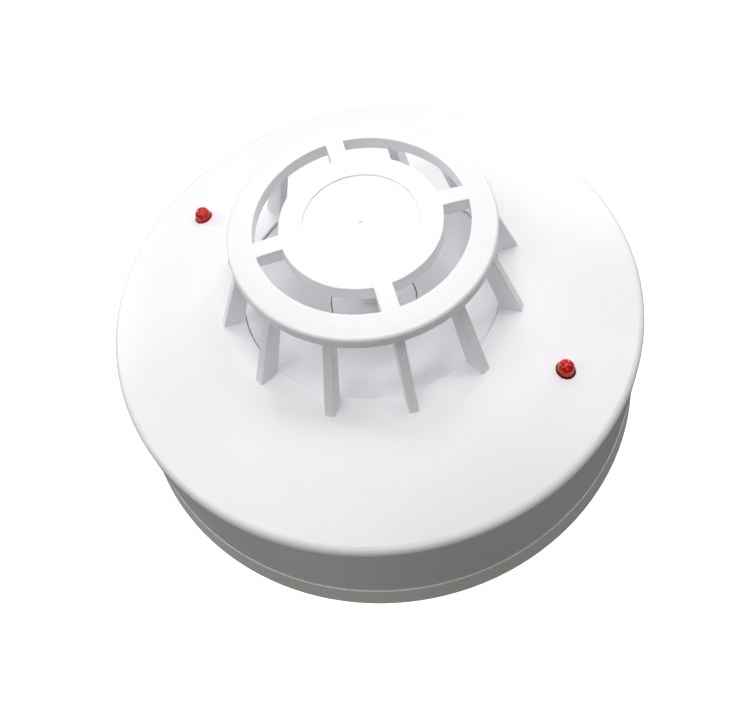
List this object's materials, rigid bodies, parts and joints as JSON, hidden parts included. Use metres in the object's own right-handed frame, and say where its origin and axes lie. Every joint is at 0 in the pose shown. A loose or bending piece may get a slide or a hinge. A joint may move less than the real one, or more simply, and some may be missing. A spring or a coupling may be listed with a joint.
{
  "type": "heat detector",
  "caption": "Round white ceiling heat detector: vented vane cage over a dished sensor bowl, red indicator lamps, head twist-locked on a screw-down base.",
  "frame": {"origin": "centre of the mounting base's flat back face", "axes": "+Z out of the ceiling face through the cage; +X along the line of the two fixing slots; the cage spokes lie on X and Y"},
  "size_m": [0.0998, 0.0998, 0.0495],
  "materials": {
    "white_abs": "satin moulded white plastic",
    "base_abs": "satin moulded white plastic",
    "bowl_abs": "satin moulded white plastic",
    "chassis_abs": "fine textured white plastic",
    "lamp_red": "clear red epoxy",
    "board": "green solder mask",
    "chip_black": "moulded black epoxy",
    "tinned_wire": "bright tinned wire",
    "brass": "rolled brass strip",
    "zinc_steel": "bright zinc plate",
    "bead_coat": "dipped epoxy",
    "ceramic": "fired ceramic",
    "can_sleeve": "shrunk plastic sleeve"
  },
  "bodies": {
    "base": {"mounting_base": "base_abs", "terminal_plates": "brass", "clamp_washers": "zinc_steel"},
    "head": {"front_cover": "white_abs", "cage_top": "white_abs", "cage_vanes": "white_abs", "sensor_bowl": "bowl_abs", "thermistor_holder": "bowl_abs", "thermistor_bead": "bead_coat", "reference_thermistor": "bead_coat", "thermistor_leads": "tinned_wire", "lamp_leads": "tinned_wire", "lamp_spacers": "chip_black", "circuit_board": "board", "comparator_chip": "chip_black", "chip_pins": "tinned_wire", "rectifier_diodes": "chip_black", "alarm_thyristor": "chip_black", "thyristor_leads": "tinned_wire", "smoothing_capacitor": "can_sleeve", "timing_capacitor": "can_sleeve", "ceramic_capacitors": "ceramic", "chip_resistors": "chip_black", "rear_chassis": "chassis_abs", "assembly_screws": "zinc_steel", "contact_blades": "brass", "contact_pins": "tinned_wire", "indicator_lamp_left": "lamp_red", "indicator_lamp_right": "lamp_red"},
    "terminal_screw_1": {"terminal_screw_1": "zinc_steel"},
    "terminal_screw_2": {"terminal_screw_2": "zinc_steel"},
    "terminal_screw_3": {"terminal_screw_3": "zinc_steel"},
    "terminal_screw_4": {"terminal_screw_4": "zinc_steel"}
  },
  "joints": [
    {"name": "head_twist", "type": "hinge", "parent": "base", "child": "head", "pos_m": [0, 0, 0.0071], "axis": [0, 0, 1], "range_deg": [0, 20]},
    {"name": "terminal_screw_1_turn", "type": "hinge", "parent": "base", "child": "terminal_screw_1", "pos_m": [0.02149, 0.01721, 0.006], "axis": [0, 0, 1], "continuous": true},
    {"name": "terminal_screw_2_turn", "type": "hinge", "parent": "base", "child": "terminal_screw_2", "pos_m": [-0.01322, 0.02415, 0.006], "axis": [0, 0, 1], "continuous": true},
    {"name": "terminal_screw_3_turn", "type": "hinge", "parent": "base", "child": "terminal_screw_3", "pos_m": [-0.02149, -0.01721, 0.006], "axis": [0, 0, 1], "continuous": true},
    {"name": "terminal_screw_4_turn", "type": "hinge", "parent": "base", "child": "terminal_screw_4", "pos_m": [0.01322, -0.02415, 0.006], "axis": [0, 0, 1], "continuous": true}
  ]
}
